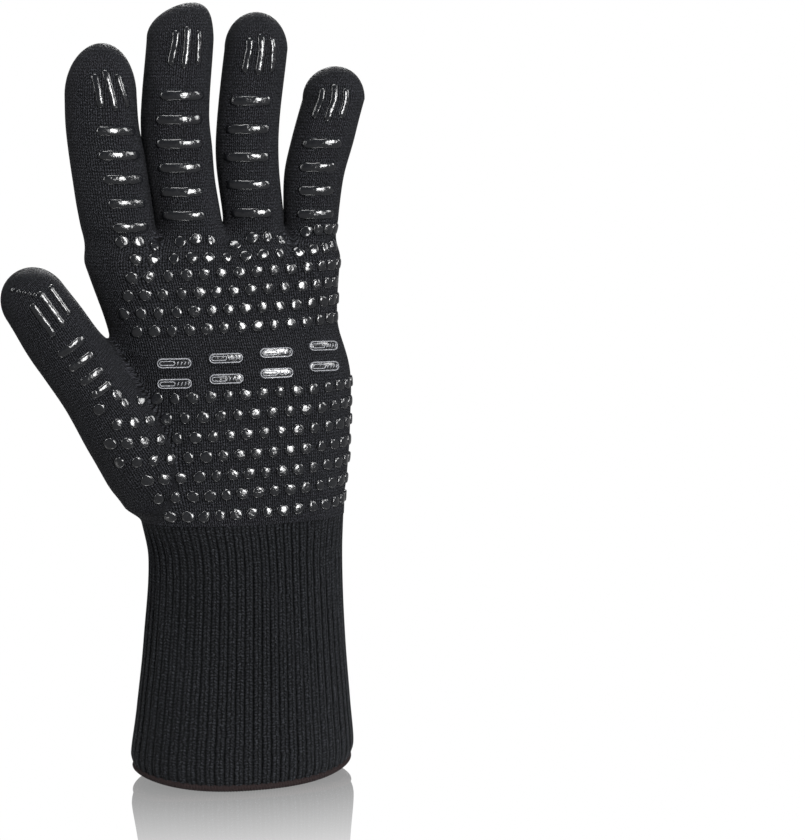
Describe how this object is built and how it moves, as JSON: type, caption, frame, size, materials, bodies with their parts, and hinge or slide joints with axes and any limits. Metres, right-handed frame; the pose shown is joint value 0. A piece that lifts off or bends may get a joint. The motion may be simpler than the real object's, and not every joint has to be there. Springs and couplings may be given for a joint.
{
  "type": "heat resistant glove",
  "caption": "Left-hand heat resistant glove standing on its cuff: black knitted shell with a long ribbed cuff, raised silicone grip marks on the palm and a soft lining inside.",
  "frame": {"origin": "centre of the whole glove's plan outline, in the plane of the cuff's hem", "axes": "+Z from the hem up to the fingertips, -Y out of the palm, -X towards the thumb"},
  "size_m": [0.1551, 0.0638, 0.3298],
  "materials": {
    "knit": "matte",
    "lining": "matte",
    "binding": "matte",
    "silicone": "gloss"
  },
  "bodies": {
    "cuff": {"cuff_knit": "knit", "cuff_lining": "lining", "cuff_hem": "binding"},
    "palm": {"palm_knit": "knit", "palm_lining": "lining", "wrist_crease_front": "knit", "wrist_crease_back": "knit", "grip_bar_upper_1": "silicone", "grip_bar_upper_2": "silicone", "grip_bar_upper_3": "silicone", "grip_bar_upper_4": "silicone", "grip_bar_lower_1": "silicone", "grip_bar_lower_2": "silicone", "grip_bar_lower_3": "silicone", "grip_bar_lower_4": "silicone"},
    "index_lower": {"index_lower_knit": "knit", "index_lower_lining": "lining", "index_lower_crease": "knit"},
    "index_middle": {"index_middle_knit": "knit", "index_middle_lining": "lining", "index_middle_crease": "knit"},
    "index_tip": {"index_tip_knit": "knit", "index_tip_lining": "lining", "index_tip_crease": "knit"},
    "middle_lower": {"middle_lower_knit": "knit", "middle_lower_lining": "lining", "middle_lower_crease": "knit"},
    "middle_middle": {"middle_middle_knit": "knit", "middle_middle_lining": "lining", "middle_middle_crease": "knit"},
    "middle_tip": {"middle_tip_knit": "knit", "middle_tip_lining": "lining", "middle_tip_crease": "knit"},
    "ring_lower": {"ring_lower_knit": "knit", "ring_lower_lining": "lining", "ring_lower_crease": "knit"},
    "ring_middle": {"ring_middle_knit": "knit", "ring_middle_lining": "lining", "ring_middle_crease": "knit"},
    "ring_tip": {"ring_tip_knit": "knit", "ring_tip_lining": "lining", "ring_tip_crease": "knit"},
    "little_lower": {"little_lower_knit": "knit", "little_lower_lining": "lining", "little_lower_crease": "knit"},
    "little_middle": {"little_middle_knit": "knit", "little_middle_lining": "lining", "little_middle_crease": "knit"},
    "little_tip": {"little_tip_knit": "knit", "little_tip_lining": "lining", "little_tip_crease": "knit"},
    "thumb_lower": {"thumb_lower_knit": "knit", "thumb_lower_lining": "lining", "thumb_lower_crease": "knit"},
    "thumb_tip": {"thumb_tip_knit": "knit", "thumb_tip_lining": "lining", "thumb_tip_crease": "knit"}
  },
  "joints": [
    {"name": "wrist_bend", "type": "hinge", "parent": "cuff", "child": "palm", "pos_m": [0, 0, 0.097], "axis": [1, 0, 0], "range_deg": [-30, 40], "stiffness_Nm_per_rad": 0.25, "deforming": ["wrist_crease_front", "wrist_crease_back"]},
    {"name": "index_knuckle", "type": "hinge", "parent": "palm", "child": "index_lower", "pos_m": [-0.02849, 0, 0.242], "axis": [1, 0, 0], "range_deg": [-10, 65], "stiffness_Nm_per_rad": 0.06, "deforming": ["index_lower_crease"]},
    {"name": "index_middle_joint", "type": "hinge", "parent": "index_lower", "child": "index_middle", "pos_m": [-0.03211, 0, 0.268], "axis": [1, 0, 0], "range_deg": [0, 75], "stiffness_Nm_per_rad": 0.06, "deforming": ["index_middle_crease"]},
    {"name": "index_tip_joint", "type": "hinge", "parent": "index_middle", "child": "index_tip", "pos_m": [-0.03377, 0, 0.291], "axis": [1, 0, 0], "range_deg": [0, 45], "stiffness_Nm_per_rad": 0.06, "deforming": ["index_tip_crease"]},
    {"name": "middle_knuckle", "type": "hinge", "parent": "palm", "child": "middle_lower", "pos_m": [0.0016, 0, 0.242], "axis": [1, 0, 0], "range_deg": [-10, 65], "stiffness_Nm_per_rad": 0.06, "deforming": ["middle_lower_crease"]},
    {"name": "middle_middle_joint", "type": "hinge", "parent": "middle_lower", "child": "middle_middle", "pos_m": [-0.00265, 0, 0.273], "axis": [1, 0, 0], "range_deg": [0, 75], "stiffness_Nm_per_rad": 0.06, "deforming": ["middle_middle_crease"]},
    {"name": "middle_tip_joint", "type": "hinge", "parent": "middle_middle", "child": "middle_tip", "pos_m": [-0.00206, 0, 0.3], "axis": [1, 0, 0], "range_deg": [0, 45], "stiffness_Nm_per_rad": 0.06, "deforming": ["middle_tip_crease"]},
    {"name": "ring_knuckle", "type": "hinge", "parent": "palm", "child": "ring_lower", "pos_m": [0.0295, 0, 0.242], "axis": [1, 0, 0], "range_deg": [-10, 65], "stiffness_Nm_per_rad": 0.06, "deforming": ["ring_lower_crease"]},
    {"name": "ring_middle_joint", "type": "hinge", "parent": "ring_lower", "child": "ring_middle", "pos_m": [0.02731, 0, 0.272], "axis": [1, 0, 0], "range_deg": [0, 75], "stiffness_Nm_per_rad": 0.06, "deforming": ["ring_middle_crease"]},
    {"name": "ring_tip_joint", "type": "hinge", "parent": "ring_middle", "child": "ring_tip", "pos_m": [0.02974, 0, 0.298], "axis": [1, 0, 0], "range_deg": [0, 45], "stiffness_Nm_per_rad": 0.06, "deforming": ["ring_tip_crease"]},
    {"name": "little_knuckle", "type": "hinge", "parent": "palm", "child": "little_lower", "pos_m": [0.05454, 0, 0.241], "axis": [1, 0, 0], "range_deg": [-10, 65], "stiffness_Nm_per_rad": 0.06, "deforming": ["little_lower_crease"]},
    {"name": "little_middle_joint", "type": "hinge", "parent": "little_lower", "child": "little_middle", "pos_m": [0.05719, 0, 0.263], "axis": [1, 0, 0], "range_deg": [0, 75], "stiffness_Nm_per_rad": 0.06, "deforming": ["little_middle_crease"]},
    {"name": "little_tip_joint", "type": "hinge", "parent": "little_middle", "child": "little_tip", "pos_m": [0.0627, 0, 0.283], "axis": [1, 0, 0], "range_deg": [0, 45], "stiffness_Nm_per_rad": 0.06, "deforming": ["little_tip_crease"]},
    {"name": "thumb_knuckle", "type": "hinge", "parent": "palm", "child": "thumb_lower", "pos_m": [-0.0451, -0.00713, 0.17901], "axis": [0.6926, 0.5194, 0.5005], "range_deg": [-10, 35], "stiffness_Nm_per_rad": 0.06, "deforming": ["thumb_lower_crease"]},
    {"name": "thumb_tip_joint", "type": "hinge", "parent": "thumb_lower", "child": "thumb_tip", "pos_m": [-0.05578, -0.00908, 0.1958], "axis": [0.6926, 0.5194, 0.5005], "range_deg": [0, 45], "stiffness_Nm_per_rad": 0.06, "deforming": ["thumb_tip_crease"]}
  ]
}
